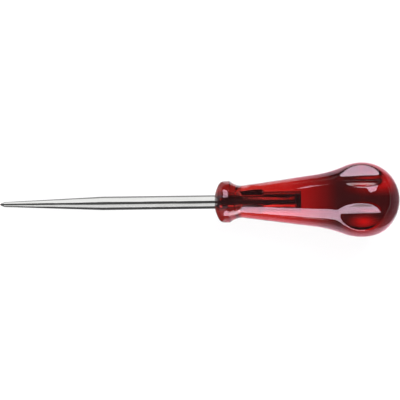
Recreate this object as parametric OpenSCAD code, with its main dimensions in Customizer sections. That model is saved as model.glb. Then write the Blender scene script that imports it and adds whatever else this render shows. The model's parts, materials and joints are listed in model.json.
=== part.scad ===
// Bradawl with a clear moulded handle, lying on a bench as it comes to rest on its tip and bulb.
// Each piece is drawn round the tool's own axis, with the mouth of the handle at height 0,
// the butt above it and the point of the blade below, and is then laid on the bench.

/* [Blade] */
// Diameter of the parallel shank
shank_d = 6; // [4:0.1:6.2]
// Length of blade that stands out of the handle
blade_out = 97; // [80:1:130]
// Length of the long taper, without the point
taper_l = 44.5; // [30:0.5:70]
// Diameter where the taper meets the point
point_d = 2.2; // [1.2:0.1:3.5]
// Length of the short ground point
point_l = 2; // [1:0.1:4]
// Diameter of the blunted tip
tip_d = 0.5; // [0.2:0.1:1]

/* [Tang] */
// Diameter of the tang, left as drawn bar
tang_d = 6.4; // [6.4:0.1:8]
// Length of the tang inside the handle, up to its foot
tang_l = 36.2; // [28:0.1:42]
// Length of the upset foot at the end of the tang
foot_l = 2.3; // [1:0.1:4]
// Chamfer round the end of the foot
foot_chamfer = 0.4; // [0.1:0.1:0.9]
// Distance from the mouth to the front of the wings
wing_start = 11; // [8:0.5:16]
// Length of the wings that the punches press out of the bar
wing_l = 11; // [9:0.5:15]
// Length of the ramp at the front of each wing
wing_ramp = 7; // [1:0.5:9]
// Slope at the rear end of each wing, along the tang
wing_tail = 0.8; // [0.2:0.1:1.5]
// Height of the wings above the tang
wing_h = 0.5; // [0.3:0.05:1]
// Thickness of the wings
wing_t = 1.8; // [1:0.1:2.5]
// Width of the ridge that the punches leave standing between the wings
ridge_w = 3.4; // [2.4:0.1:4.4]

/* [Fit] */
// Gap all round between the tang and its bore
bore_clearance = 0.2; // [0.05:0.05:0.3]
// Gap between the punched part of the tang and the plastic moulded round it
wing_clearance = 0.05; // [0.02:0.01:0.1]
// Gap round the foot of the tang
foot_clearance = 0.04; // [0.02:0.02:0.1]
// Length of the bore left empty past the foot
bore_pocket = 0.2; // [0.1:0.1:3]

/* [Handle] */
// Length of the handle from mouth to butt
handle_l = 81.6; // [72:0.2:100]
// Diameter of the bulb
bulb_d = 33.4; // [28:0.2:38]
// Radius of the shoulder that runs into the bulb
shoulder_r = 19.5; // [18:0.5:24]
// Radius of the hollow sweep from cone to shoulder
sweep_r = 50; // [35:1:60]
// How far inside the bulb's widest radius the cone would run on
cone_inset = 2.4; // [1:0.1:5]
// Diameter at the narrowest place of the neck
neck_d = 14.4; // [12:0.1:16]
// Radius of the hollow behind the collar
neck_r = 7.7; // [4:0.1:9]
// Diameter of the collar
collar_d = 18.5; // [16:0.1:22]
// Length of the collar's straight land
collar_land = 2; // [1:0.1:5]
// Rounding of the collar's rear edge
collar_rear_r = 0.9; // [0.4:0.1:1.2]
// Rounding of the collar's front edge
collar_front_r = 2.9; // [1:0.1:3.5]
// Radius of the dome at the mouth
dome_r = 16; // [14:0.5:30]

/* [Flutes] */
// Number of finger flutes round the bulb
flute_count = 5; // [4:1:7]
// Radius of the cutter that hollows a flute
flute_r = 18; // [14:0.5:26]
// Depth of a flute at the widest place of the bulb
flute_depth = 2.7; // [1.5:0.1:3]

/* [Hidden] */
$fn = 96;

// Largest turn between two points of a rounded stretch, in degrees
arc_turn = 5;
// Fewest steps along a rounded stretch
arc_steps_min = 6;

shank_r = shank_d / 2;
tang_r = tang_d / 2;
tip_r = tip_d / 2;
point_r = point_d / 2;
bulb_r = bulb_d / 2;
collar_r = collar_d / 2;
bore_r = tang_r + bore_clearance;
wing_r = tang_r + wing_h;
wing_end = wing_start + wing_l;
foot_r = bore_r - foot_clearance;
foot_end = tang_l + foot_l;

// Centres of the outline's arcs, as [distance from the axis, height]
bulb_pos = handle_l - bulb_r;
dome_c = [0, sqrt(pow(dome_r, 2) - pow(bore_r, 2))];
front_c = [
    collar_r - collar_front_r,
    dome_c[1] - sqrt(pow(dome_r - collar_front_r, 2) - pow(collar_r - collar_front_r, 2))
];
rear_c = [collar_r - collar_rear_r, front_c[1] + collar_land];
neck_out = neck_d / 2 + neck_r;
neck_c = [
    neck_out,
    rear_c[1] + sqrt(pow(neck_r + collar_rear_r, 2) - pow(neck_out - rear_c[0], 2))
];
shoulder_c = [bulb_r - shoulder_r, bulb_pos];

// The cone leaves the neck's hollow and aims at a place inside the bulb's widest radius.
// The sweep touches the cone on one side and the shoulder on the other.
cone_aim = [bulb_r - cone_inset, bulb_pos];
cone_angle = asin(neck_r / norm(neck_c - cone_aim)) - aim(cone_aim, neck_c) - 90;
cone_along = [sin(cone_angle), cos(cone_angle)];
cone_out = [cos(cone_angle), -sin(cone_angle)];
cone_start = neck_c - neck_r * cone_out;
sweep_from = cone_start + sweep_r * cone_out - shoulder_c;
sweep_lead = sweep_from * cone_along;
sweep_reach = pow(sweep_r + shoulder_r, 2) - sweep_from * sweep_from;
cone_l = -sweep_lead - sqrt(pow(sweep_lead, 2) + sweep_reach);
sweep_c = cone_start + cone_l * cone_along + sweep_r * cone_out;

// At rest a flute faces down: the tool stands on that flute's two edges, and in front on its tip
// or on the heel where the point meets the taper, whichever is lower. In the upright plane the
// edges follow a parabola, and the bench is the line that touches it from in front.
flute_pos = bulb_r - flute_depth + flute_r;
edge_bend = bulb_r / shoulder_r;
edge_drop = pow(bulb_r, 2) + pow(flute_pos, 2) - pow(flute_r, 2);
heel_pos = blade_out - point_l;
rest_tilt = atan(min(bench_slope(blade_out, tip_r), bench_slope(heel_pos, point_r)));
bench_lift = max(bench_depth(blade_out, tip_r), bench_depth(heel_pos, point_r));
bench_front = -blade_out * cos(rest_tilt) - tip_r * sin(rest_tilt);
bench_back = bulb_pos * cos(rest_tilt) + bulb_r;

// Slope of the bench if it touches the blade this far in front of the mouth, at this radius
function bench_slope(pos, r) =
    let (reach = edge_bend * (pos + bulb_pos))
        (reach - sqrt(pow(reach, 2) - edge_bend * (edge_drop - 2 * flute_pos * r))) / flute_pos;

// Depth of that place of the blade below the mouth, once the tool lies at rest
function bench_depth(pos, r) = pos * sin(rest_tilt) + r * cos(rest_tilt);

// Angle of the line from one centre to another
function aim(from, to) = atan2(to[1] - from[1], to[0] - from[0]);

// Points along an arc, without its first point where the arc before it ends there
function arc(c, r, a0, a1, skip = 0) =
    let (steps = max(arc_steps_min, ceil(abs(a1 - a0) / arc_turn)))
    [
        for (i = [skip : steps])
            let (a = a0 + (a1 - a0) * i / steps)
                c + r * [cos(a), sin(a)]
    ];

// Outline of the handle from the mouth to the butt
handle_outline = concat(
    arc(dome_c, dome_r, -90, aim(dome_c, front_c)),
    arc(front_c, collar_front_r, aim(dome_c, front_c), 0, 1),
    arc(rear_c, collar_rear_r, 0, aim(rear_c, neck_c)),
    arc(neck_c, neck_r, aim(rear_c, neck_c) + 180, 180 - cone_angle, 1),
    arc(sweep_c, sweep_r, 180 - cone_angle, aim(sweep_c, shoulder_c)),
    arc(shoulder_c, shoulder_r, aim(shoulder_c, sweep_c), 0, 1),
    arc([0, bulb_pos], bulb_r, 0, 90, 1)
);

// Lays the tool on the bench, with the origin under the middle of its length
module on_bench() {
    translate([-(bench_front + bench_back) / 2, 0, bench_lift])
        rotate([0, 90 - rest_tilt, 0])
            children();
}

// Plate through the tang whose two edges stand out as wings, grown all round by a gap
module wing_plate(gap) {
    r = wing_r + gap;
    outline = [
        [tang_r, wing_start],
        [r, wing_start + wing_ramp],
        [r, wing_end - wing_tail],
        [tang_r, wing_end + gap]
    ];
    rotate([90, 0, 90])
        linear_extrude(height = wing_t + 2 * gap, center = true)
            for (side = [0, 1])
                mirror([side, 0])
                    polygon(concat([[0, wing_end + gap], [0, wing_start]], outline));
}

// The four places beside the ridges where the bar is punched flat, shrunk all round by a gap
module punches(gap) {
    near = ridge_w / 2 + gap;
    above = wing_t / 2 + gap;
    for (across = [0, 1], side = [0, 1])
        mirror([across, 0, 0])
            mirror([0, side, 0])
                translate([above, near, wing_start + gap])
                    cube([tang_d, tang_d, wing_l - 2 * gap]);
}

module flutes() {
    for (i = [0 : flute_count - 1])
        rotate(i * 360 / flute_count)
            translate([flute_pos, 0, bulb_pos])
                cylinder(r = flute_r, h = 2 * bulb_d, center = true);
}

// Bore that the plastic leaves round the tang, with the plastic that fills the punched places left standing
module tang_bore() {
    difference() {
        translate([0, 0, -dome_r])
            cylinder(r = bore_r, h = dome_r + foot_end + bore_pocket);
        punches(wing_clearance);
    }
    wing_plate(wing_clearance);
}

module handle() {
    color([0.71, 0.07, 0.09, 0.6])
        on_bench()
            difference() {
                rotate_extrude()
                    polygon(handle_outline);
                flutes();
                tang_bore();
            }
}

module blade() {
    color([0.78, 0.79, 0.8])
        on_bench() {
            difference() {
                rotate_extrude()
                    polygon([
                        [0, -blade_out],
                        [tip_r, -blade_out],
                        [point_r, -heel_pos],
                        [shank_r, taper_l - heel_pos],
                        [shank_r, 0],
                        [tang_r, 0],
                        [tang_r, tang_l],
                        [foot_r, tang_l],
                        [foot_r, foot_end - foot_chamfer],
                        [foot_r - foot_chamfer, foot_end],
                        [0, foot_end]
                    ]);
                punches(0);
            }
            wing_plate(0);
        }
}

handle();
blade();
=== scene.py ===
import bmesh
import bpy
import json
import math
from mathutils import Matrix, Vector


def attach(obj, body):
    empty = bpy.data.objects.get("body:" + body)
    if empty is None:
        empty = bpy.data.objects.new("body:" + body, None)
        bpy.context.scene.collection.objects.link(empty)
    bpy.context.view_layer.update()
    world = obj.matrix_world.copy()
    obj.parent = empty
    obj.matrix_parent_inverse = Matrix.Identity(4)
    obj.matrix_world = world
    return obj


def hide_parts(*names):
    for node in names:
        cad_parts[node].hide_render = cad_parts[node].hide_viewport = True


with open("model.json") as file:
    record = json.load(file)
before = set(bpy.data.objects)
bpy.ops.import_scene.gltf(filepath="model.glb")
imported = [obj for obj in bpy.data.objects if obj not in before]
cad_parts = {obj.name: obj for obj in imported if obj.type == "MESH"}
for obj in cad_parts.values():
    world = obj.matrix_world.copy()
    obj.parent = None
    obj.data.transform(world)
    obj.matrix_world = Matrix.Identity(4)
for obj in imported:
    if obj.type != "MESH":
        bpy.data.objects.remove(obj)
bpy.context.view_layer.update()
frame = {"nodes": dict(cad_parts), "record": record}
scene = bpy.context.scene
mm = 0.001
print("bradawl: frame loaded, nodes", sorted(frame["nodes"]))


# small helpers for node trees

def feed(tree, socket, value):
    if isinstance(value, bpy.types.NodeSocket):
        tree.links.new(value, socket)
    elif value is not None:
        socket.default_value = value


def put(tree, kind, feeds=None, **settings):
    node = tree.nodes.new(kind)
    for key, value in settings.items():
        setattr(node, key, value)
    for key, value in (feeds or {}).items():
        feed(tree, node.inputs[key], value)
    return node


def calc(tree, operation, *values):
    node = put(tree, "ShaderNodeMath", operation=operation)
    for socket, value in zip(node.inputs, values):
        feed(tree, socket, value)
    return node.outputs[0]


def blend(tree, share, first, second):
    # sockets 6 and 7 of the node are its two colours, and its third output is the mixed one
    node = put(tree, "ShaderNodeMix", data_type="RGBA")
    for place, value in ((0, share), (6, first), (7, second)):
        feed(tree, node.inputs[place], value)
    return node.outputs[2]


def openTree(name, kind, inputs, outputs):
    tree = bpy.data.node_groups.new(name, kind)
    for label, socketKind, value in inputs:
        socket = tree.interface.new_socket(label, in_out="INPUT", socket_type=socketKind)
        if value is not None:
            socket.default_value = value
    for label, socketKind in outputs:
        tree.interface.new_socket(label, in_out="OUTPUT", socket_type=socketKind)
    return tree, tree.nodes.new("NodeGroupInput").outputs, tree.nodes.new("NodeGroupOutput").inputs


# where the tool lies: the record's shank mount starts at the mouth and points to the tip
shankMount = next(m for m in frame["record"]["mounts"] if m["name"] == "shank")
buttWay = -Vector(shankMount["axis"]).normalized()
downWay = Vector((0, 1, 0)).cross(buttWay)
toolToBench = Matrix((downWay, Vector((0, 1, 0)), buttWay)).transposed().to_4x4()
toolToBench.translation = Vector(shankMount["pos_m"])
restTilt = math.atan2(buttWay.z, buttWay.x)


# outlines are lists of (radius, height) in mm, with the mouth at height 0 and the butt above it

def aimAngle(start, end):
    return math.atan2(end[1] - start[1], end[0] - start[0])


def arcPoints(centre, radius, a0, a1, step, fewest=8):
    count = max(fewest, math.ceil(abs(a1 - a0) * radius / step))
    return [
        (centre[0] + radius * math.cos(a0 + (a1 - a0) * i / count),
         centre[1] + radius * math.sin(a0 + (a1 - a0) * i / count))
        for i in range(count + 1)
    ]


def easeCorners(points, ease, steps=4, longest=0.45):
    # each corner becomes a short curve that takes up at most this share of the run on either side
    eased = [points[0]]
    for before, corner, after in zip(points, points[1:], points[2:]):
        b, c, a = Vector(before), Vector(corner), Vector(after)
        start = c + (b - c) * min(longest, ease / (b - c).length)
        end = c + (a - c) * min(longest, ease / (a - c).length)
        for i in range(steps + 1):
            t = i / steps
            eased.append(tuple((1 - t) ** 2 * start + 2 * t * (1 - t) * c + t * t * end))
    return eased + [points[-1]]


def fillRows(points, step):
    # extra rows on long straight runs
    rows = [points[0]]
    for a, b in zip(points, points[1:]):
        count = max(1, math.ceil(math.dist(a, b) / step))
        rows += [
            (a[0] + (b[0] - a[0]) * i / count, a[1] + (b[1] - a[1]) * i / count)
            for i in range(1, count + 1)
        ]
    return rows


def mergeNear(points, least=0.01):
    kept = [points[0]]
    for p in points[1:]:
        if math.dist(p, kept[-1]) > least:
            kept.append(p)
    return kept


# Geometry Nodes: turn an outline into a round piece. Where the outline says so, punches have pressed it
# down beside a middle ridge, and the metal stands out as an ear on each side

# guards against dividing by nothing, and the distance within which the seam and the poles close
leastTurn, leastRadius, seamGap = 1e-6, 1e-7, 0.002 * mm


def makeTurningTree():
    tree, given, made = openTree("turnOutline", "GeometryNodeTree", [
        ("Outline", "NodeSocketGeometry", None),
        ("Segments", "NodeSocketInt", 96),
        ("Ridge Half Width", "NodeSocketFloat", 1.7 * mm),
        ("Ear Half Thickness", "NodeSocketFloat", 0.9 * mm),
        ("Finish", "NodeSocketMaterial", None),
    ], [("Piece", "NodeSocketGeometry")])
    outline = given["Outline"]
    rows = put(tree, "GeometryNodeAttributeDomainSize", {"Geometry": outline}).outputs["Point Count"]
    columns = calc(tree, "ADD", given["Segments"], 1)
    grid = put(tree, "GeometryNodeMeshGrid", {"Vertices X": columns, "Vertices Y": rows})
    index = put(tree, "GeometryNodeInputIndex").outputs[0]
    row = calc(tree, "MODULO", index, rows)
    column = calc(tree, "FLOOR", calc(tree, "DIVIDE", index, rows))
    angle = calc(tree, "MULTIPLY", calc(tree, "DIVIDE", column, given["Segments"]), 2 * math.pi)

    def atRow(value, dataType):
        return put(tree, "GeometryNodeSampleIndex", {"Geometry": outline, "Value": value, "Index": row},
                   data_type=dataType, domain="POINT").outputs[0]

    def written(name):
        node = put(tree, "GeometryNodeInputNamedAttribute", {"Name": name}, data_type="FLOAT")
        return atRow(node.outputs["Attribute"], "FLOAT")

    where = atRow(put(tree, "GeometryNodeInputPosition").outputs[0], "FLOAT_VECTOR")
    spot = put(tree, "ShaderNodeSeparateXYZ", {0: where})
    across = calc(tree, "MAXIMUM", calc(tree, "ABSOLUTE", calc(tree, "COSINE", angle)), leastTurn)
    along = calc(tree, "MAXIMUM", calc(tree, "ABSOLUTE", calc(tree, "SINE", angle)), leastTurn)
    reach = written("earReach")
    ridge = calc(tree, "MINIMUM", spot.outputs["X"], calc(tree, "DIVIDE", given["Ridge Half Width"], along))
    pressed = calc(tree, "MAXIMUM", ridge, calc(tree, "DIVIDE", given["Ear Half Thickness"], across))
    eared = calc(tree, "MINIMUM", pressed, calc(tree, "DIVIDE", reach, along))
    isPressed = calc(tree, "GREATER_THAN", reach, 0.0)
    change = calc(tree, "MULTIPLY", isPressed, calc(tree, "SUBTRACT", eared, spot.outputs["X"]))
    radius = calc(tree, "ADD", spot.outputs["X"], change)
    place = put(tree, "ShaderNodeCombineXYZ", {
        "X": calc(tree, "MULTIPLY", radius, calc(tree, "COSINE", angle)),
        "Y": calc(tree, "MULTIPLY", radius, calc(tree, "SINE", angle)),
        "Z": spot.outputs["Z"],
    }).outputs[0]
    turned = put(tree, "GeometryNodeSetPosition", {"Geometry": grid.outputs["Mesh"], "Position": place}).outputs[0]
    closed = put(tree, "GeometryNodeMergeByDistance", {"Geometry": turned, "Distance": seamGap}).outputs[0]
    smooth = put(tree, "GeometryNodeSetShadeSmooth", {"Geometry": closed}).outputs[0]
    real = put(tree, "GeometryNodeRealizeInstances", {"Geometry": smooth}).outputs[0]
    dressed = put(tree, "GeometryNodeSetMaterial", {"Geometry": real, "Material": given["Finish"]}).outputs[0]
    feed(tree, made["Piece"], dressed)
    return tree


# Geometry Nodes: sink evenly spaced finger flutes into a turned piece, with eased edges

def makeFluteTree():
    tree, given, made = openTree("cutFlutes", "GeometryNodeTree", [
        ("Piece", "NodeSocketGeometry", None),
        ("Flute Count", "NodeSocketInt", 5),
        ("Cutter Distance", "NodeSocketFloat", 32 * mm),
        ("Cutter Radius", "NodeSocketFloat", 18 * mm),
        ("Edge Ease", "NodeSocketFloat", 1 * mm),
        ("Finish", "NodeSocketMaterial", None),
    ], [("Piece", "NodeSocketGeometry")])
    spot = put(tree, "ShaderNodeSeparateXYZ", {0: put(tree, "GeometryNodeInputPosition").outputs[0]})
    x, y, z = spot.outputs
    radius = calc(tree, "SQRT", calc(tree, "ADD", calc(tree, "MULTIPLY", x, x), calc(tree, "MULTIPLY", y, y)))
    angle = calc(tree, "ARCTAN2", y, x)
    spacing = calc(tree, "DIVIDE", 2 * math.pi, given["Flute Count"])
    turns = calc(tree, "ROUND", calc(tree, "DIVIDE", angle, spacing))
    offset = calc(tree, "SUBTRACT", angle, calc(tree, "MULTIPLY", turns, spacing))
    side = calc(tree, "MULTIPLY", given["Cutter Distance"], calc(tree, "SINE", offset))
    ahead = calc(tree, "MULTIPLY", given["Cutter Distance"], calc(tree, "COSINE", offset))
    under = calc(tree, "SUBTRACT", calc(tree, "MULTIPLY", given["Cutter Radius"], given["Cutter Radius"]),
                 calc(tree, "MULTIPLY", side, side))
    floor = calc(tree, "SUBTRACT", ahead, calc(tree, "SQRT", calc(tree, "MAXIMUM", under, 0.0)))
    cut = calc(tree, "SMOOTH_MIN", radius, floor, given["Edge Ease"])
    share = calc(tree, "DIVIDE", cut, calc(tree, "MAXIMUM", radius, leastRadius))
    place = put(tree, "ShaderNodeCombineXYZ", {
        "X": calc(tree, "MULTIPLY", x, share), "Y": calc(tree, "MULTIPLY", y, share), "Z": z}).outputs[0]
    fluted = put(tree, "GeometryNodeSetPosition", {"Geometry": given["Piece"], "Position": place}).outputs[0]
    real = put(tree, "GeometryNodeRealizeInstances", {"Geometry": fluted}).outputs[0]
    dressed = put(tree, "GeometryNodeSetMaterial", {"Geometry": real, "Material": given["Finish"]}).outputs[0]
    feed(tree, made["Piece"], dressed)
    return tree


turningTree = makeTurningTree()
fluteTree = makeFluteTree()


def addTree(piece, tree, values):
    modifier = piece.modifiers.new(tree.name, "NODES")
    modifier.node_group = tree
    names = {s.name: s.identifier for s in tree.interface.items_tree if s.in_out == "INPUT"}
    for label, value in values.items():
        modifier[names[label]] = value


def turnPiece(name, outline, earReach, steps, sharpFrom=38.0):
    # outline in mm becomes a polyline with the reach of its ears written on it, then a closed mesh on the bench,
    # on which edges that turn by more degrees than sharpFrom stay crisp
    mesh = bpy.data.meshes.new(name)
    runs = [(i, i + 1) for i in range(len(outline) - 1)]
    mesh.from_pydata([(r * mm, 0, h * mm) for r, h in outline], runs, [])
    layer = mesh.attributes.new("earReach", "FLOAT", "POINT")
    layer.data.foreach_set("value", [earReach(r, h) * mm for r, h in outline])
    piece = bpy.data.objects.new(name, mesh)
    scene.collection.objects.link(piece)
    for tree, values in steps:
        addTree(piece, tree, values)
    bpy.context.view_layer.update()
    turned = bpy.data.meshes.new_from_object(piece.evaluated_get(bpy.context.evaluated_depsgraph_get()))
    piece.modifiers.clear()
    piece.data = turned
    bpy.data.meshes.remove(mesh)
    turned.name = name
    for label in ("earReach", "UVMap"):
        if label in turned.attributes:
            turned.attributes.remove(turned.attributes[label])
    turned.transform(toolToBench)
    work = bmesh.new()
    work.from_mesh(turned)
    bmesh.ops.recalc_face_normals(work, faces=work.faces)
    volume = work.calc_volume(signed=True)
    openEdges = sum(1 for e in work.edges if not e.is_manifold)
    work.to_mesh(turned)
    work.free()
    turned.set_sharp_from_angle(angle=math.radians(sharpFrom))
    turned.update()
    print(f"{name}: {len(turned.polygons)} faces, {volume / mm ** 3:.0f} mm3, {openEdges} open edges")
    return piece


# shader group: rub marks and hairlines from handling, shared by the plastic and the steel

def makeHandlingMarks():
    tree, given, made = openTree("handlingMarks", "ShaderNodeTree", [
        ("Vector", "NodeSocketVector", None),
        ("Smudge Scale", "NodeSocketFloat", 60.0),
        ("Hairline Scale", "NodeSocketFloat", 400.0),
        ("Hairline Stretch", "NodeSocketFloat", 0.05),
    ], [("Smudge", "NodeSocketFloat"), ("Hairline", "NodeSocketFloat")])
    smudge = put(tree, "ShaderNodeTexNoise", {
        "Vector": given["Vector"], "Scale": given["Smudge Scale"], "Detail": 3.0, "Roughness": 0.55})
    smudgeMask = put(tree, "ShaderNodeMapRange", {
        "Value": smudge.outputs[0], "From Min": 0.45, "From Max": 0.75}, interpolation_type="SMOOTHSTEP")
    feed(tree, made["Smudge"], smudgeMask.outputs[0])
    stretch = put(tree, "ShaderNodeCombineXYZ", {"X": given["Hairline Stretch"], "Y": 1.0, "Z": 1.0})
    drawn = put(tree, "ShaderNodeVectorMath", {0: given["Vector"], 1: stretch.outputs[0]}, operation="MULTIPLY")
    hairline = put(tree, "ShaderNodeTexNoise", {
        "Vector": drawn.outputs[0], "Scale": given["Hairline Scale"], "Detail": 2.0, "Roughness": 0.6})
    hairMask = put(tree, "ShaderNodeMapRange", {
        "Value": hairline.outputs[0], "From Min": 0.35, "From Max": 0.7})
    feed(tree, made["Hairline"], hairMask.outputs[0])
    return tree


handlingMarks = makeHandlingMarks()


def addMarks(tree, where, values):
    marks = put(tree, "ShaderNodeGroup", node_tree=handlingMarks)
    for label, value in {"Vector": where, **values}.items():
        feed(tree, marks.inputs[label], value)
    return marks.outputs


def newFinish(name):
    material = bpy.data.materials.new(name)
    material.use_nodes = True
    tree = material.node_tree
    tree.nodes.clear()
    output = tree.nodes.new("ShaderNodeOutputMaterial")
    shader = tree.nodes.new("ShaderNodeBsdfPrincipled")
    tree.links.new(shader.outputs[0], output.inputs["Surface"])
    return material, tree, shader, output


def toolCoordinates(tree):
    # Object coordinates turned so that X runs along the tool, from the mouth to the butt
    where = put(tree, "ShaderNodeTexCoord").outputs["Object"]
    return put(tree, "ShaderNodeMapping", {
        "Vector": where, "Location": toolToBench.translation,
        "Rotation": (0, -restTilt, 0)}, vector_type="TEXTURE").outputs[0]


plasticFinish = {
    "tint": (0.95, 0.62, 0.6),
    "tintDeep": (0.92, 0.5, 0.49),
    "absorbColor": (0.86, 0.19, 0.13),
    "absorbDensity": 300.0,
    "refraction": 1.48,
    "sheen": (1.0, 0.68, 0.8),
    "clearness": 0.996,
    "roughness": 0.02,
    "smudgeRoughness": 0.03,
    "smudgeScale": 45.0,
    "waveScale": 70.0,
    "waveReach": 0.001,
    "waveDepth": 0.006,
}


def makeClearPlastic(v):
    material, tree, shader, output = newFinish("clearRedPlastic")
    where = toolCoordinates(tree)
    smudge = addMarks(tree, where, {"Smudge Scale": v["smudgeScale"]})["Smudge"]
    tint = blend(tree, smudge, (*v["tint"], 1), (*v["tintDeep"], 1))
    feed(tree, shader.inputs["Base Color"], tint)
    rough = calc(tree, "MULTIPLY_ADD", smudge, v["smudgeRoughness"], v["roughness"])
    feed(tree, shader.inputs["Roughness"], rough)
    wave = put(tree, "ShaderNodeTexNoise", {"Vector": where, "Scale": v["waveScale"], "Detail": 1.0})
    bump = put(tree, "ShaderNodeBump", {
        "Strength": v["waveDepth"], "Distance": v["waveReach"], "Height": wave.outputs[0]})
    feed(tree, shader.inputs["Normal"], bump.outputs[0])
    shader.inputs["IOR"].default_value = v["refraction"]
    shader.inputs["Specular Tint"].default_value = (*v["sheen"], 1)
    shader.inputs["Transmission Weight"].default_value = v["clearness"]
    absorb = put(tree, "ShaderNodeVolumeAbsorption")
    absorb.inputs["Color"].default_value = (*v["absorbColor"], 1)
    absorb.inputs["Density"].default_value = v["absorbDensity"]
    tree.links.new(absorb.outputs[0], output.inputs["Volume"])
    return material


steelFinish = {
    "bright": (0.66, 0.66, 0.65),
    "worn": (0.58, 0.58, 0.57),
    # painted shade: the steel inside the handle is painted much darker than the blade
    "tang": (0.2, 0.19, 0.18),
    # painted shade: the tang's foot at the bore's end is painted near black
    "foot": (0.035, 0.03, 0.028),
    "mouth": (-0.2, 0.6),
    "footStart": (36.1, 36.2),
    "roughness": 0.07,
    "smudgeRoughness": 0.06,
    "tangRoughness": 0.1,
    "footRoughness": 0.3,
    "smudgeScale": 90.0,
    "hairlineScale": 2500.0,
    "hairlineStretch": 0.02,
    "grindReach": 0.0001,
    "grindDepth": 0.05,
}


def makeBladeSteel(v):
    material, tree, shader, _ = newFinish("polishedBladeSteel")
    where = toolCoordinates(tree)
    along = put(tree, "ShaderNodeSeparateXYZ", {0: where}).outputs["X"]
    marks = addMarks(tree, where, {
        "Smudge Scale": v["smudgeScale"], "Hairline Scale": v["hairlineScale"],
        "Hairline Stretch": v["hairlineStretch"]})

    def past(place):
        # 0 before a stretch of the blade's length in mm, and 1 past it
        first, last = place
        return put(tree, "ShaderNodeMapRange", {
            "Value": along, "From Min": first * mm, "From Max": last * mm}).outputs[0]

    inHandle, atFoot = past(v["mouth"]), past(v["footStart"])
    tone = blend(tree, marks["Hairline"], (*v["bright"], 1), (*v["worn"], 1))
    # painted shade: inside the handle the steel turns to the darker tang colour
    tone = blend(tree, inHandle, tone, (*v["tang"], 1))
    # painted shade: past the foot's start the steel is painted near black, the shade at the bore's end
    tone = blend(tree, atFoot, tone, (*v["foot"], 1))
    feed(tree, shader.inputs["Base Color"], tone)
    rough = calc(tree, "MULTIPLY_ADD", marks["Smudge"], v["smudgeRoughness"], v["roughness"])
    rough = calc(tree, "MULTIPLY_ADD", inHandle, v["tangRoughness"] - v["roughness"], rough)
    rough = calc(tree, "MULTIPLY_ADD", atFoot, v["footRoughness"], rough)
    feed(tree, shader.inputs["Roughness"], rough)
    bump = put(tree, "ShaderNodeBump", {
        "Strength": v["grindDepth"], "Distance": v["grindReach"], "Height": marks["Hairline"]})
    feed(tree, shader.inputs["Normal"], bump.outputs[0])
    shader.inputs["Metallic"].default_value = 1.0
    return material


clearPlastic = makeClearPlastic(plasticFinish)
bladeSteel = makeBladeSteel(steelFinish)
print("finishes: clear red plastic, blade steel")


# handle: pear outline of touching arcs, five flutes, and the bore that holds the tang. Sizes in mm

handleShape = {
    "length": 81.6, "bulb": 33.37, "shoulder": 19.5, "sweep": 50.0, "coneInset": 2.4,
    "neck": 14.4, "neckHollow": 7.7, "collar": 18.5, "collarLand": 2.0,
    "collarRear": 0.9, "collarFront": 2.9, "dome": 16.0,
    "bore": 6.8, "boreLength": 38.7, "boreEase": 0.25,
    "seatRidge": 1.75, "seatHalf": 0.95, "seatReach": 3.75, "seatBase": 3.4,
    "flutes": 5, "cutterRadius": 18.0, "fluteDepth": 2.7, "edgeEase": 0.8,
    "boreEndEase": 0.3,
    "segments": 280, "rowStep": 0.5, "skinRows": 0.6, "boreRows": 2.0,
    "domeSteps": 14, "frontSteps": 22, "rearSteps": 12, "neckSteps": 24,
}
# heights of the tang's wings, with plain rows of the bore before and after them; nothing wider than limit has wings
wingPlaces = {
    "before": 9.0, "start": 11.0, "rampEnd": 18.0, "tailStart": 21.2, "end": 22.0, "close": 22.1, "after": 24.0,
    "limit": 4.5,
}


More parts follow.
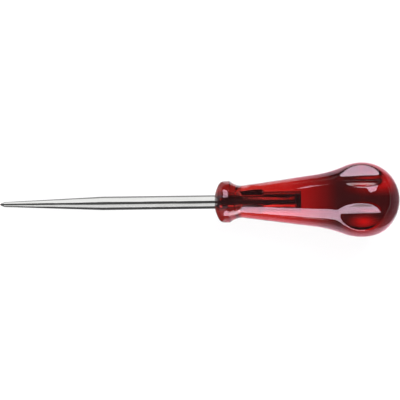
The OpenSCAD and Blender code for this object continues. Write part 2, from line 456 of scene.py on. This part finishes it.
def handleOutline(v):
    boreR, bulbR, collarR = v["bore"] / 2, v["bulb"] / 2, v["collar"] / 2
    bulbAt = v["length"] - bulbR
    dome = (0, math.sqrt(v["dome"] ** 2 - boreR ** 2))
    frontIn = collarR - v["collarFront"]
    front = (frontIn, dome[1] - math.sqrt((v["dome"] - v["collarFront"]) ** 2 - frontIn ** 2))
    rear = (collarR - v["collarRear"], front[1] + v["collarLand"])
    neckOut = v["neck"] / 2 + v["neckHollow"]
    neck = (neckOut, rear[1] + math.sqrt((v["neckHollow"] + v["collarRear"]) ** 2 - (neckOut - rear[0]) ** 2))
    shoulder = (bulbR - v["shoulder"], bulbAt)
    aimed = (bulbR - v["coneInset"], bulbAt)
    coneTurn = math.asin(v["neckHollow"] / math.dist(neck, aimed)) - aimAngle(aimed, neck) - math.pi / 2
    along = Vector((math.sin(coneTurn), math.cos(coneTurn)))
    out = Vector((math.cos(coneTurn), -math.sin(coneTurn)))
    coneStart = Vector(neck) - v["neckHollow"] * out
    reach = coneStart + v["sweep"] * out - Vector(shoulder)
    lead = reach.dot(along)
    coneLength = -lead - math.sqrt(lead ** 2 + (v["sweep"] + v["shoulder"]) ** 2 - reach.dot(reach))
    sweep = tuple(coneStart + coneLength * along + v["sweep"] * out)
    step = v["rowStep"]
    rim = aimAngle(dome, (boreR + v["boreEase"], 0))
    outer = arcPoints(dome, v["dome"], rim, aimAngle(dome, front), step, v["domeSteps"])
    outer += arcPoints(front, v["collarFront"], aimAngle(dome, front), 0, step, v["frontSteps"])
    outer += arcPoints(rear, v["collarRear"], 0, aimAngle(rear, neck), step, v["rearSteps"])
    outer += arcPoints(neck, v["neckHollow"], aimAngle(rear, neck) + math.pi, math.pi - coneTurn, step,
                       v["neckSteps"])
    outer += arcPoints(sweep, v["sweep"], math.pi - coneTurn, aimAngle(sweep, shoulder), step)
    outer += arcPoints(shoulder, v["shoulder"], aimAngle(shoulder, sweep), 0, step)
    outer += arcPoints((0, bulbAt), bulbR, 0, math.pi / 2, step)
    inner = [(0, v["boreLength"]), (boreR, v["boreLength"])]
    inner += [
        (boreR, wingPlaces[place])
        for place in ("after", "close", "end", "tailStart", "rampEnd", "start", "before")
    ]
    inner += [(boreR, v["boreEase"]), outer[0]]
    inner = easeCorners(inner[:3], v["boreEndEase"])[:-1] + inner[2:]
    return mergeNear(fillRows(inner, v["boreRows"]) + fillRows(outer, v["skinRows"]))


def earReach(base, top):
    def reach(r, h):
        if r > wingPlaces["limit"] or h <= wingPlaces["start"] or h >= wingPlaces["end"]:
            return 0.0
        rise = (h - wingPlaces["start"]) / (wingPlaces["rampEnd"] - wingPlaces["start"])
        fall = (wingPlaces["end"] - h) / (wingPlaces["end"] - wingPlaces["tailStart"])
        return base + (top - base) * min(1, rise, fall)
    return reach


def makeHandle(v):
    cutterAt = v["bulb"] / 2 - v["fluteDepth"] + v["cutterRadius"]
    handle = turnPiece("clear_handle", handleOutline(v), earReach(v["seatBase"], v["seatReach"]), [
        (turningTree, {"Segments": v["segments"], "Ridge Half Width": v["seatRidge"] * mm,
                       "Ear Half Thickness": v["seatHalf"] * mm, "Finish": clearPlastic}),
        (fluteTree, {"Flute Count": v["flutes"], "Cutter Distance": cutterAt * mm,
                     "Cutter Radius": v["cutterRadius"] * mm, "Edge Ease": v["edgeEase"] * mm,
                     "Finish": clearPlastic}),
    ])
    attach(handle, "root")
    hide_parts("handle")


# blade: ground point, long taper, shank, and the tang with its two punched wings and its foot. Sizes in mm

bladeShape = {
    "shank": 6.0, "out": 97.0, "taper": 44.5, "point": 2.2, "pointLength": 2.0, "tip": 0.5,
    "tang": 6.4, "tangLength": 36.2, "tangChamfer": 0.4,
    "ridge": 1.7, "earHalf": 0.9, "earReach": 3.7, "foot": 6.72, "footLength": 2.3,
    "stepHalf": 0.05, "seatHalf": 0.02, "footRamp": 0.1, "footEase": 0.1,
    "cornerEase": 0.25, "segments": 144, "rowStep": 3.0,
}


def bladeOutline(v):
    shankR, tangR = v["shank"] / 2, v["tang"] / 2
    heel = v["pointLength"] - v["out"]
    outer = [
        (0, -v["out"]), (v["tip"] / 2, -v["out"]), (v["point"] / 2, heel), (shankR, heel + v["taper"]),
        (shankR, -v["stepHalf"]), (tangR, v["stepHalf"]),
    ]
    seats = [
        (tangR, wingPlaces[place] + d)
        for place in ("start", "end") for d in (-v["seatHalf"], v["seatHalf"])
    ]
    tang = [(tangR, wingPlaces["rampEnd"]), (tangR, wingPlaces["tailStart"])]
    footR, end = v["foot"] / 2, v["tangLength"] + v["footLength"]
    tail = [(tangR, v["tangLength"] - v["footRamp"]), (footR, v["tangLength"]),
            (footR, end - v["tangChamfer"]), (footR - v["tangChamfer"], end), (0, end)]
    rows = easeCorners(outer, v["cornerEase"]) + sorted(seats + tang, key=lambda p: p[1])
    return mergeNear(fillRows(rows + easeCorners([rows[-1]] + tail, v["footEase"])[1:], v["rowStep"]))


def makeBlade(v):
    blade = turnPiece("steel_blade", bladeOutline(v), earReach(v["tang"] / 2, v["earReach"]), [
        (turningTree, {"Segments": v["segments"], "Ridge Half Width": v["ridge"] * mm,
                       "Ear Half Thickness": v["earHalf"] * mm, "Finish": bladeSteel}),
    ])
    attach(blade, "root")
    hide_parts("blade")


makeHandle(handleShape)
makeBlade(bladeShape)


# studio: pale floor, soft boxes round the tool, a lamp by its neck, cards beside the blade and on the floor.
# Lengths in metres, apart from the depth of the floor and its cards below the tool, and their raise, in mm

studio = {
    "floorSize": 8.0, "floorDepth": 0.1, "floorColor": (0.86, 0.86, 0.86), "mottle": 1.01, "mottleScale": 30.0,
    "floorWhite": 0.85, "floorMirrored": 0.3, "cardDepth": 0.05,
    "fill": 0.75, "ceiling": 0.1, "through": 0.2, "horizon": (0.1, 0.3),
    "away": 0.5, "lilac": (1.0, 0.97, 1.04), "rose": (1.0, 0.6, 0.7),
}
rayKinds = ("camera", "diffuse", "shadow", "glossy", "transmission")
# each soft box follows stations along the tool: x, its upper and lower edge in degrees from upright, and where
# it differs the station's own distance. Near ones, with their distance and height, hang close to the tool's
# axis, dark ones hide bright ones from what shouldn't mirror them, and those that shine through light the tang
softBoxes = {
    "front_soft_box": {"strength": 11.0, "stations": [
        (-1.2, 78, 90), (-0.6, 76, 90), (-0.38, 64, 90), (-0.3, 46, 90), (-0.11, 44, 90), (-0.09, 57, 90),
        (-0.065, 57, 90), (-0.03, 57, 90), (0.005, 66, 90), (0.065, 69, 90), (0.11, 70, 90)]},
    "back_soft_box": {"strength": 12.5, "stations": [
        (-0.03, -42, -75), (0.05, -39, -72), (0.06, -39, -70), (0.07, -39, -68), (0.09, -39, -68),
        (0.13, -36, -68), (0.2, -20, -66), (0.26, -16, -60), (0.44, -25, -55)]},
    "back_streak_card": {"strength": 9.0, "away": 0.037, "height": 0.0135, "stations": [
        (0.0338, -46.5, -47.5), (0.0362, -47, -51), (0.039, -48, -53), (0.0415, -50, -54.5), (0.0433, -53, -55)]},
    "back_collar_card": {"strength": 10.0, "away": 0.02, "height": 0.0105, "stations": [
        (0.0085, -9, -53), (0.0098, -11, -52), (0.0118, -18, -44)]},
    "back_collar_flag": {"strength": 0.02, "away": 0.035, "height": 0.0105, "stations": [
        (0.0083, -5, -75, 0.012), (0.0083, -5, -75)]},
    "back_neck_flag": {"strength": 0.02, "away": 0.03, "height": 0.0105, "stations": [
        (0.0105, -10, -88), (0.031, -10, -88)]},
    "back_neck_wall": {"strength": 0.02, "away": 0.03, "height": 0.0105, "stations": [
        (0.0225, -8, -100, 0.009), (0.0225, -8, -100, 0.0305)]},
    "back_tang_box": {"strength": 5.0, "through": True, "stations": [(0.024, -11, -42), (0.0405, -11, -42)]},
    "front_tang_box": {"strength": 7.0, "through": True, "stations": [
        (0.03, 52, 64), (0.042, 52, 66), (0.046, 52, 81), (0.078, 54, 81)]},
    "collar_tang_box": {"strength": 4.0, "through": True, "stations": [(-0.42, 58, 84), (-0.1, 52, 76)]},
}
# small lamp beside the cone that faces the neck, turned about the tool's axis in degrees from upright
neckLamp = {"x": 0.0185, "away": 0.0203, "height": 0.0105, "turn": 64.0, "size": (0.0195, 0.0048), "strength": 10.0}
# cards beside the blade, with their lower and upper edge, which follow its slope
bladeCards = {
    "front_blade_card": {"span": (-0.115, 0.009), "y": (-0.025, -0.025), "z": (0.0125, 0.052), "strength": 1.0,
                         "tip": (-0.075, 0.0248)},
    "front_blade_flag": {"span": (-0.2, 0.009), "y": (-0.025, -0.025), "z": (0.003, 0.0125), "strength": 0.08},
    "front_tip_flag": {"span": (-0.4, -0.115), "y": (-0.025, -0.025), "z": (0.0125, 0.09), "strength": 0.15},
    "back_blade_card": {"span": (-0.115, 0.009), "y": (0.025, 0.0115), "z": (0.009, 0.06), "strength": 1.3,
                        "tip": (-0.075, 0.0333)},
}
# cards on the floor, seen in reflections or through the plastic: a pair of strengths runs along the card,
# or from its middle to its soft edge
floorCards = {
    "glossy": {
        "front_blade_shade": {"span": (-0.3, 0.009), "y": (-0.6, 0.0), "strength": 0.1},
        "back_blade_shade": {"span": (-0.3, 0.009), "y": (0.0, 0.6), "strength": 0.42},
        "front_box_foot": {"span": (0.009, 0.11), "y": (-0.5, -0.12), "strength": 5.0, "raise": 0.03},
        "front_handle_shade": {"span": (0.009, 0.6), "y": (-0.6, -0.04), "strength": 0.3},
        "front_rim_card": {"span": (0.012, 0.1), "y": (-0.04, -0.012), "strength": (1.6, 1.9), "color": "rose"},
        "bulb_rim_card": {
            "span": (0.036, 0.1), "y": (-0.055, -0.04), "strength": (0.6, 1.6), "color": "rose", "raise": 0.03},
        "back_handle_shade": {"span": (0.009, 0.6), "y": (0.06, 0.6), "strength": 0.05},
        "back_rim_card": {"span": (0.04, 0.1), "y": (0.013, 0.06), "strength": 1.4, "color": "rose"},
        "back_flute_card": {"span": (0.055, 0.11), "y": (0.085, 0.135), "strength": 4.5, "raise": 0.03},
        "butt_shade": {"span": (0.1, 0.6), "y": (-0.04, 0.06), "strength": 0.5, "color": "rose"},
    },
    "transmission": {
        "front_side_shade": {"span": (-0.3, 0.6), "y": (-0.6, -0.02), "strength": 0.22},
        "back_side_shade": {"span": (-0.3, 0.6), "y": (0.02, 0.6), "strength": 0.22},
        "collar_glow": {"span": (0.004, 0.0145), "y": (-0.02, 0.02), "strength": 0.5},
        "dome_shade": {"span": (0.0145, 0.0195), "y": (-0.02, 0.02), "strength": (0.45, 0.5)},
        "neck_glow": {"span": (0.0195, 0.042), "y": (-0.02, 0.02), "strength": (0.95, 1.1)},
        "sweep_glow": {"span": (0.042, 0.066), "y": (-0.02, 0.02), "strength": (1.1, 0.15)},
        "bulb_shade": {"span": (0.066, 0.1), "y": (-0.02, 0.02), "strength": 0.12},
        "flute_glow": {
            "span": (0.0655, 0.0835), "y": (-0.0115, 0.0025), "strength": (2.0, 0.12), "raise": 0.02, "soft": True},
        "bulb_glow": {
            "span": (0.068, 0.086), "y": (0.0027, 0.0063), "strength": (1.6, 0.12), "raise": 0.02, "soft": True},
    },
}


def glow(name, strength, color=(1.0, 1.0, 1.0), fade=None):
    # one strength, or two with the object coordinate that runs from the first to the second
    material = bpy.data.materials.new(name)
    material.use_nodes = True
    tree = material.node_tree
    tree.nodes.clear()
    if fade:
        spot = put(tree, "ShaderNodeMapping", {
            "Vector": put(tree, "ShaderNodeTexCoord").outputs["Object"],
            "Location": fade["from"], "Scale": fade["reach"]}, vector_type="TEXTURE")
        share = put(tree, "ShaderNodeTexGradient", {"Vector": spot.outputs[0]}, gradient_type=fade["kind"])
        strength = put(tree, "ShaderNodeMapRange", {
            "Value": share.outputs["Fac"], "To Min": strength[0], "To Max": strength[1]}).outputs[0]
    emission = put(tree, "ShaderNodeEmission", {"Strength": strength, "Color": (*color, 1)})
    output = tree.nodes.new("ShaderNodeOutputMaterial")
    tree.links.new(emission.outputs[0], output.inputs["Surface"])
    return material


def stageSheet(name, corners, material, hiddenFrom=(), faces=((0, 1, 2, 3),)):
    mesh = bpy.data.meshes.new(name)
    mesh.from_pydata([tuple(c) for c in corners], [], faces)
    sheet = bpy.data.objects.new(name, mesh)
    scene.collection.objects.link(sheet)
    mesh.materials.append(material)
    for kind in hiddenFrom:
        setattr(sheet, "visible_" + kind, False)


def softBox(name, v, steps=8):
    corners = []
    away, height = v.get("away", studio["away"]), v.get("height", 0.0)
    for x, upper, lower, *own in v["stations"]:
        reach = own[0] if own else away
        for i in range(steps + 1):
            a = math.radians(upper + (lower - upper) * i / steps)
            corners.append((x, -math.sin(a) * reach, height + math.cos(a) * reach))
    row = steps + 1
    faces = [
        (k, k + 1, k + row + 1, k + row)
        for j in range(len(v["stations"]) - 1) for k in range(j * row, j * row + steps)
    ]
    hidden = ["camera", "diffuse", "shadow", "glossy"] if "through" in v else ["camera", "transmission"]
    if "away" in v:
        hidden += ["diffuse", "shadow"]
    stageSheet(name, corners, glow(name, v["strength"], studio["lilac"]), hidden, faces)


def makeLamp(name, v):
    data = bpy.data.lights.new(name, "AREA")
    data.shape = "RECTANGLE"
    data.size, data.size_y = v["size"]
    data.energy = v["strength"] * math.pi * data.size * data.size_y
    lamp = bpy.data.objects.new(name, data)
    scene.collection.objects.link(lamp)
    a = math.radians(v["turn"])
    back, out = Vector((1, 0, 0)), Vector((0, -math.sin(a), math.cos(a)))
    turn = Matrix((out, back.cross(out), back)).transposed().to_4x4()
    lamp.matrix_world = Matrix.Translation(out * v["away"] + Vector((v["x"], 0, v["height"]))) @ turn
    for kind in ("camera", "diffuse", "transmission"):
        setattr(lamp, "visible_" + kind, False)


def bladeCard(name, v):
    (x0, x1), (y0, y1), (z0, z1) = v["span"], v["y"], v["z"]
    top = [(x0, y1, z1)]
    if "tip" in v:
        # towards the tip the upper edge runs down from one place to a lower end
        xTip, zTip = v["tip"]
        top = [(xTip, y1, z1), (x0, y0 + (y1 - y0) * (zTip - z0) / (z1 - z0), zTip)]
    rise = math.tan(restTilt)
    corners = [(x, y, z + x * rise) for x, y, z in [(x0, y0, z0), (x1, y0, z0), (x1, y1, z1)] + top]
    hidden = [kind for kind in rayKinds if kind != "glossy"]
    stageSheet(name, corners, glow(name, v["strength"]), hidden, [range(len(corners))])


def floorCard(name, seen, v):
    (x0, x1), (y0, y1), strength = v["span"], v["y"], v["strength"]
    z = (v.get("raise", 0.0) - studio["cardDepth"]) * mm
    fade = None
    if "soft" in v:
        # the round gradient is 1 in the middle and 0 at the edge
        strength = strength[::-1]
        fade = {"kind": "QUADRATIC_SPHERE", "from": ((x0 + x1) / 2, (y0 + y1) / 2, z),
                "reach": ((x1 - x0) / 2, (y1 - y0) / 2, 1)}
    elif isinstance(strength, tuple):
        fade = {"kind": "LINEAR", "from": (x0, y0, 0), "reach": (x1 - x0, 1, 1)}
    color = studio[v["color"]] if "color" in v else (1.0, 1.0, 1.0)
    corners = [(x0, y0, z), (x1, y0, z), (x1, y1, z), (x0, y1, z)]
    stageSheet(name, corners, glow(name, strength, color, fade), [kind for kind in rayKinds if kind != seen])


def makeFloor(v):
    material = bpy.data.materials.new("paleFloor")
    material.use_nodes = True
    tree = material.node_tree
    tree.nodes.clear()
    path = put(tree, "ShaderNodeLightPath").outputs
    mottle = put(tree, "ShaderNodeTexNoise", {
        "Vector": put(tree, "ShaderNodeTexCoord").outputs["Object"], "Scale": v["mottleScale"]})
    tone = blend(tree, mottle.outputs[0], (*v["floorColor"], 1), (*(c * v["mottle"] for c in v["floorColor"]), 1))
    matt = put(tree, "ShaderNodeBsdfDiffuse", {"Color": tone})
    white = put(tree, "ShaderNodeEmission", {"Strength": 1.0})
    share = calc(tree, "MAXIMUM", calc(tree, "MULTIPLY", path["Is Camera Ray"], v["floorWhite"]),
                 calc(tree, "MULTIPLY", path["Is Glossy Ray"], v["floorMirrored"]))
    mix = put(tree, "ShaderNodeMixShader", {0: share, 1: matt.outputs[0], 2: white.outputs[0]})
    output = tree.nodes.new("ShaderNodeOutputMaterial")
    tree.links.new(mix.outputs[0], output.inputs["Surface"])
    half, low = v["floorSize"] / 2, -v["floorDepth"] * mm
    stageSheet("floor", [(-half, -half, low), (half, -half, low), (half, half, low), (-half, half, low)], material)


def makeWorld(v):
    world = bpy.data.worlds.new("paleStudio")
    scene.world = world
    world.use_nodes = True
    tree = world.node_tree
    tree.nodes.clear()
    path = put(tree, "ShaderNodeLightPath").outputs
    way = put(tree, "ShaderNodeSeparateXYZ", {0: put(tree, "ShaderNodeTexCoord").outputs["Generated"]})
    low, high = v["horizon"]
    horizon = put(tree, "ShaderNodeMapRange", {
        "Value": way.outputs["Z"], "From Min": low, "From Max": high, "To Min": v["through"],
        "To Max": v["ceiling"]}).outputs[0]
    strength = path["Is Camera Ray"]
    for ray, level in (("Diffuse", v["fill"]), ("Glossy", v["ceiling"]), ("Transmission", horizon)):
        strength = calc(tree, "MAXIMUM", strength, calc(tree, "MULTIPLY", path[f"Is {ray} Ray"], level))
    sky = put(tree, "ShaderNodeBackground", {"Color": (1, 1, 1, 1), "Strength": strength})
    output = tree.nodes.new("ShaderNodeOutputWorld")
    tree.links.new(sky.outputs[0], output.inputs["Surface"])


makeFloor(studio)
makeWorld(studio)
for name, values in softBoxes.items():
    softBox(name, values)
makeLamp("neck_lamp", neckLamp)
for name, values in bladeCards.items():
    bladeCard(name, values)
for seen, cards in floorCards.items():
    for name, values in cards.items():
        floorCard(name, seen, values)
print("studio: floor,", len(softBoxes), "soft boxes, lamp,", len(bladeCards), "blade cards,",
      sum(len(cards) for cards in floorCards.values()), "floor cards")


# camera: almost overhead, a little to the front

cameraView = {
    "elevation": 82.0, "distance": 0.8, "width": 0.178, "target": (0.00085, 0.00098, 0.00883),
    "sensor": 36.0, "clip": (0.01, 50.0),
}


def makeCamera(v):
    data = bpy.data.cameras.new("overhead")
    camera = bpy.data.objects.new("overhead", data)
    scene.collection.objects.link(camera)
    up = math.radians(v["elevation"])
    back = Vector((0, -math.cos(up), math.sin(up)))
    camera.location = Vector(v["target"]) + back * v["distance"]
    camera.rotation_euler = (-back).to_track_quat("-Z", "Y").to_euler()
    data.sensor_width = v["sensor"]
    data.lens = v["sensor"] * v["distance"] / v["width"]
    data.clip_start, data.clip_end = v["clip"]
    scene.camera = camera


makeCamera(cameraView)
scene.view_settings.view_transform = "Standard"
